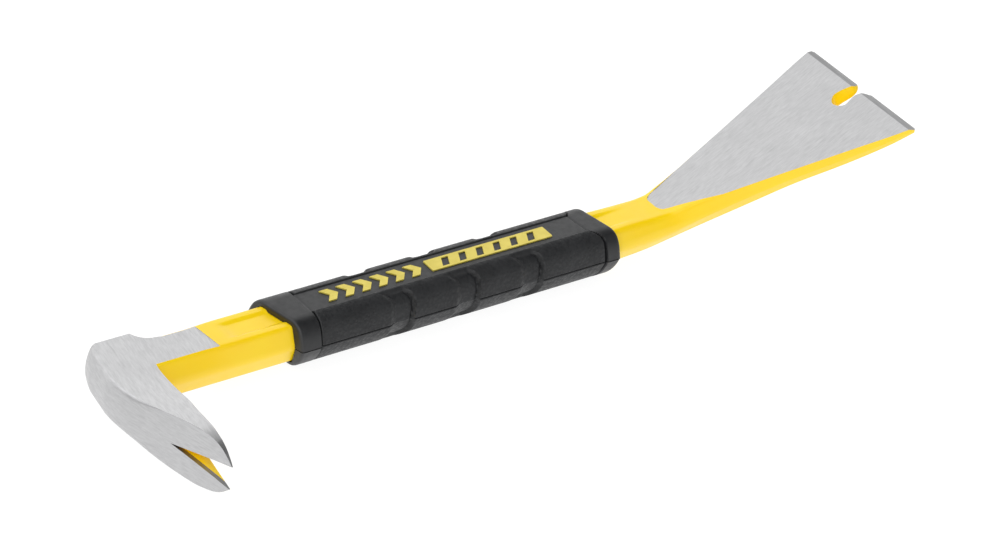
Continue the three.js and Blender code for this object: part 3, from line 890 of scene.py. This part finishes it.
def shell(name, up):
    """Half of the hard shell: the panel between the pads and a collar at each end."""
    shares = np.concatenate([[0.0, LEDGE_SHARE], np.linspace(0.04, 1, 22)])
    profile, normals = along_profile(side_profile(COLLAR_RIDGE, up), shares)
    panel = np.linspace(1, 0, 8)[:-1] * (PANEL_HALF_WIDTH - 0.02)
    collar_starts = blade_collar_x(shares)
    under = np.interp(shares, UNDER_PLACES, UNDER_DEPTHS) + (COLLAR_RIDGE - PAD_RIDGE) * shares
    inner = bore()
    rings = []
    for x, inset in shell_stations():
        claw_wall = smooth_step(COLLAR_CLAW_X - 0.2, COLLAR_CLAW_X + 0.1, x)
        blade_wall = 1 - smooth_step(collar_starts - 0.1, collar_starts + 0.2, x)
        sunk = claw_wall * blade_wall * under * smooth_step(0.0, LEDGE_SHARE, shares)
        panel_groove = sum(
            depth * math.exp(-(((x - place) / PANEL_GROOVE_WIDTH) ** 2)) for place, depth in PANEL_GROOVES
        )
        flank = profile - normals * (sunk + inset)[:, None]
        flank[:, 1] = np.maximum(flank[:, 1], SEAM_HALF)
        flank[-1, 1] = SEAM_HALF
        flank[:2, 1] -= panel_groove
        half = [tuple(p) for p in flank[::-1]] + [(y, GRIP_HEIGHT - inset - panel_groove) for y in panel]
        outer = half + [(0, GRIP_HEIGHT - inset - panel_groove)] + [(-y, z) for y, z in reversed(half)]
        ring = np.array([*outer, *inner[::-1]])
        points = np.column_stack([np.full(len(ring), x), ring[:, 0], AXIS_Z + up * ring[:, 1]])
        rings.append(leaned(points))
    piece = outward(mesh_piece(name + "_body", *loft(rings)[:2], [HARD]))
    return finish_piece(piece, [name], 35)


def trim():
    """The raised marks keep their CAD shape, with a fine rounding along their edges."""
    for name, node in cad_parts.items():
        if name.startswith("chevron_") or name == "slotted_badge":
            node.data.materials.clear()
            node.data.materials.append(GOLD)
            rounding = node.modifiers.new("rounding", "BEVEL")
            rounding.width = 0.1 * MM
            rounding.segments = 2


# ---------- floor, light and camera ----------


FLOOR_GLOW = 0.92
FLOOR_GREYS = (114, 116)
FLOOR_REACH = 3000


def floor():
    """A faintly glowing pale table, so that shadows stay soft."""
    low = CAD_BOX[0].z / MM
    corners = ((-1, -1), (1, -1), (1, 1), (-1, 1))
    points = [(x * FLOOR_REACH, y * FLOOR_REACH, low) for x, y in corners]
    look = Look("floor", Roughness=0.9, Emission_Color=(1, 1, 1, 1), Emission_Strength=FLOOR_GLOW)
    darker, lighter = (linear(grey, grey, grey) for grey in FLOOR_GREYS)
    look.feed("Base Color", look.mixed(look.noise((4, 4, 4)), darker, lighter))
    mesh_piece("floor", points, [(0, 1, 2, 3)], [look.material])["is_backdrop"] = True


def area_light(name, place, aim, size, power):
    data = bpy.data.lights.new(name, "AREA")
    data.shape = "RECTANGLE"
    data.size, data.size_y = size
    data.energy = power
    light = bpy.data.objects.new(name, data)
    light.location = place
    light.rotation_euler = (Vector(aim) - Vector(place)).to_track_quat("-Z", "Y").to_euler()
    bpy.context.scene.collection.objects.link(light)


SIDE_LIGHT_PLACE = (-0.25, -0.9, 0.55)  # in metres
SIDE_LIGHT_SIZE = 0.3
SIDE_LIGHT_POWER = 0.9
TENT_GREY = 1.24
# Panels in the tent: direction, how many degrees from it the edge ends and starts, and brightness.
PANELS = (
    ((-0.3, 0.05, 0.95), (45, 20), 1.8),
    ((0.55, -0.20, 0.81), (43, 24), 0.03),
    ((0.55, -0.82, 0.12), (50, 25), 0.22),
    ((-0.96, 0.09, 0.22), (34, 10), 0.35),
)


def studio():
    """A white tent with one brighter panel and three dark ones: for the claw's tips, the grip's side and the
    head's edge."""
    world = bpy.data.worlds.new("studio")
    world.use_nodes = True
    nodes, links = world.node_tree.nodes, world.node_tree.links
    direction = nodes.new("ShaderNodeTexCoord").outputs["Generated"]
    tent = nodes.new("ShaderNodeRGB").outputs[0]
    tent.default_value = (TENT_GREY, TENT_GREY, TENT_GREY, 1)
    for towards, (outer, inner), brightness in PANELS:
        nearness = nodes.new("ShaderNodeVectorMath")
        nearness.operation = "DOT_PRODUCT"
        nearness.inputs[1].default_value = Vector(towards).normalized()
        links.new(direction, nearness.inputs[0])
        edge = nodes.new("ShaderNodeMapRange")
        edge.interpolation_type = "SMOOTHSTEP"
        edge.inputs["From Min"].default_value = math.cos(math.radians(outer))
        edge.inputs["From Max"].default_value = math.cos(math.radians(inner))
        links.new(nearness.outputs["Value"], edge.inputs["Value"])
        panel = nodes.new("ShaderNodeMix")
        panel.data_type = "RGBA"
        panel.inputs[7].default_value = (brightness, brightness, brightness, 1)
        links.new(edge.outputs["Result"], panel.inputs[0])
        links.new(tent, panel.inputs[6])
        tent = panel.outputs[2]
    links.new(tent, nodes["Background"].inputs["Color"])
    nodes["Background"].inputs["Strength"].default_value = 1.0
    bpy.context.scene.world = world
    bpy.context.scene.view_settings.view_transform = "Standard"
    square = (SIDE_LIGHT_SIZE, SIDE_LIGHT_SIZE)
    area_light("side", SIDE_LIGHT_PLACE, (0, 0, 0), square, SIDE_LIGHT_POWER)


CAMERA_AIM = Vector((20.3, -0.5, AXIS_Z))
CAMERA_DISTANCE = 1033.7
CAMERA_HEADING, CAMERA_TILT, CAMERA_ROLL = (math.radians(a) for a in (41.04, 33.51, 9.27))
CAMERA_LENS = 138.8


def camera():
    """A long lens from the claw side, rolled a little."""
    heading, tilt, roll = CAMERA_HEADING, CAMERA_TILT, CAMERA_ROLL
    run = math.cos(tilt)
    forward = Vector((math.sin(heading) * run, math.cos(heading) * run, -math.sin(tilt)))
    level = Vector((math.cos(heading), -math.sin(heading), 0))
    upright = level.cross(forward)
    right = level * math.cos(roll) + upright * math.sin(roll)
    up = upright * math.cos(roll) - level * math.sin(roll)
    data = bpy.data.cameras.new("camera")
    data.lens = CAMERA_LENS
    data.sensor_width = 36
    data.clip_start, data.clip_end = 0.05, 20
    eye = bpy.data.objects.new("camera", data)
    turn = Matrix((right, up, -forward)).transposed().to_4x4()
    eye.matrix_world = Matrix.Translation((CAMERA_AIM - forward * CAMERA_DISTANCE) * MM) @ turn
    bpy.context.scene.collection.objects.link(eye)
    bpy.context.scene.camera = eye


forged_bar()
for height, up in (("upper", 1), ("lower", -1)):
    shell(f"grip_{height}_shell", up)
    for flank, side in (("claw_side", -1), ("strike_side", 1)):
        pad(f"{height}_pad_{flank}", side, up)
trim()
floor()
studio()
camera()

boxes = {"cad": CAD_BOX, "visual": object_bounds()}
{name: [list(corner) for corner in box] for name, box in boxes.items()}
